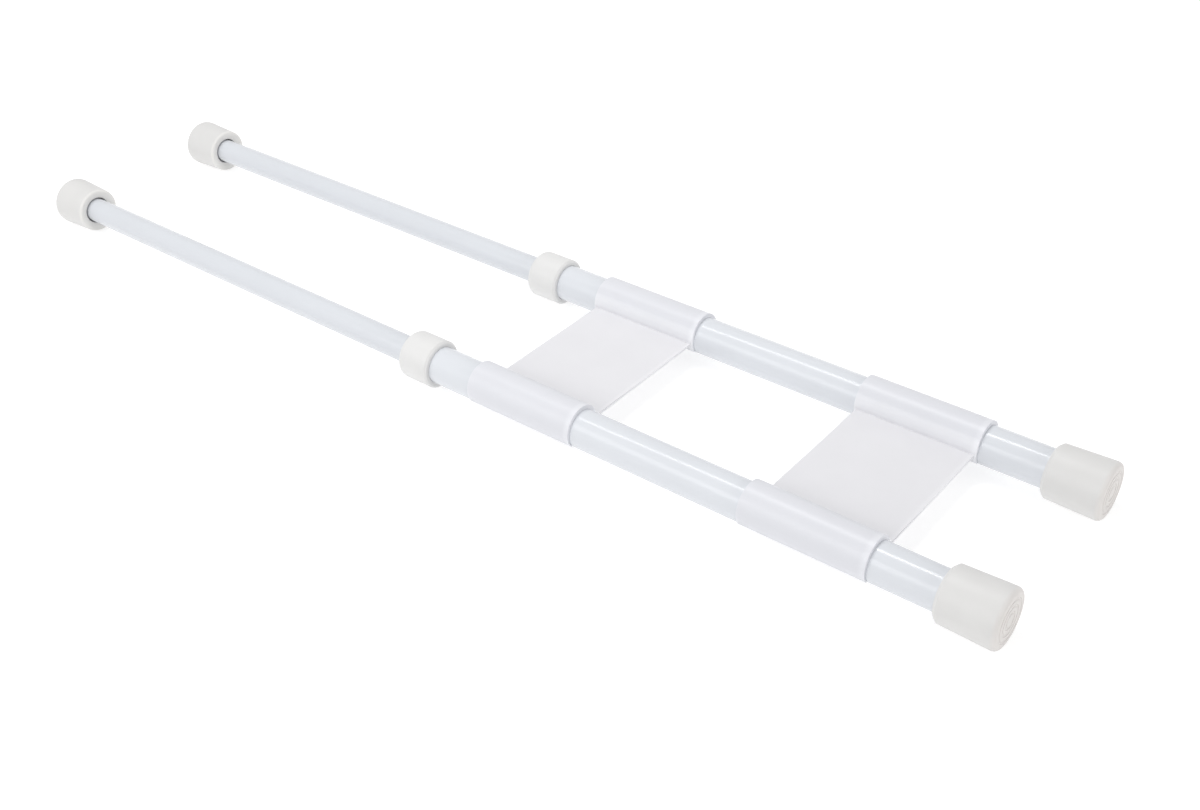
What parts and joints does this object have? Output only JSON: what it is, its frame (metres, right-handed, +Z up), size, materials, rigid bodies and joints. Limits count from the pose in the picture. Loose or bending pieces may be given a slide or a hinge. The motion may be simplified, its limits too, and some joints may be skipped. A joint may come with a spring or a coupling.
{
  "type": "spring tension rod",
  "caption": "Twin telescopic spring tension rod: parallel pale tubes with flared rubber end caps, joined by clip-on flat connectors, shown at full length.",
  "frame": {"origin": "on the ground, midway along the rods at full length and midway between them", "axes": "+X along the rods towards the large caps, +Y from the front rod to the rear rod, +Z up"},
  "size_m": [0.706, 0.146, 0.032],
  "materials": {
    "tube_steel": "glossy pale blue-white coating",
    "rubber_cap": "matte off-white rubber",
    "collar_plastic": "satin off-white plastic",
    "connector_plastic": "satin milky white plastic",
    "inner_plastic": "plain moulded plastic",
    "spring_steel": "drawn spring wire"
  },
  "bodies": {
    "outer_rods": {"front_outer_tube": "tube_steel", "front_outer_cap": "rubber_cap", "front_collar": "collar_plastic", "front_end_plug": "inner_plastic", "rear_outer_tube": "tube_steel", "rear_outer_cap": "rubber_cap", "rear_collar": "collar_plastic", "rear_end_plug": "inner_plastic"},
    "front_carriage": {"front_spring_seat": "inner_plastic", "front_spring": "spring_steel"},
    "front_inner_rod": {"front_inner_tube": "tube_steel", "front_guide_bush": "inner_plastic", "front_stop_plug": "inner_plastic", "front_inner_cap": "rubber_cap"},
    "rear_carriage": {"rear_spring_seat": "inner_plastic", "rear_spring": "spring_steel"},
    "rear_inner_rod": {"rear_inner_tube": "tube_steel", "rear_guide_bush": "inner_plastic", "rear_stop_plug": "inner_plastic", "rear_inner_cap": "rubber_cap"},
    "left_connector": {"left_connector": "connector_plastic"},
    "right_connector": {"right_connector": "connector_plastic"}
  },
  "joints": [
    {"name": "front_telescope", "type": "slide", "parent": "outer_rods", "child": "front_carriage", "axis": [1, 0, 0], "range_m": [0, 0.3025], "stiffness_N_per_m": 243, "springref_m": -0.02, "deforming": ["front_spring"]},
    {"name": "front_twist", "type": "hinge", "parent": "front_carriage", "child": "front_inner_rod", "pos_m": [0, -0.057, 0.016], "axis": [1, 0, 0], "continuous": true},
    {"name": "rear_telescope", "type": "slide", "parent": "outer_rods", "child": "rear_carriage", "axis": [1, 0, 0], "range_m": [0, 0.3025], "stiffness_N_per_m": 243, "springref_m": -0.02, "deforming": ["rear_spring"]},
    {"name": "rear_twist", "type": "hinge", "parent": "rear_carriage", "child": "rear_inner_rod", "pos_m": [0, 0.057, 0.016], "axis": [1, 0, 0], "continuous": true},
    {"name": "left_connector_slide", "type": "slide", "parent": "outer_rods", "child": "left_connector", "axis": [1, 0, 0], "range_m": [-0.0307, 0.0535]},
    {"name": "right_connector_slide", "type": "slide", "parent": "outer_rods", "child": "right_connector", "axis": [1, 0, 0], "range_m": [-0.0535, 0.0356]}
  ]
}
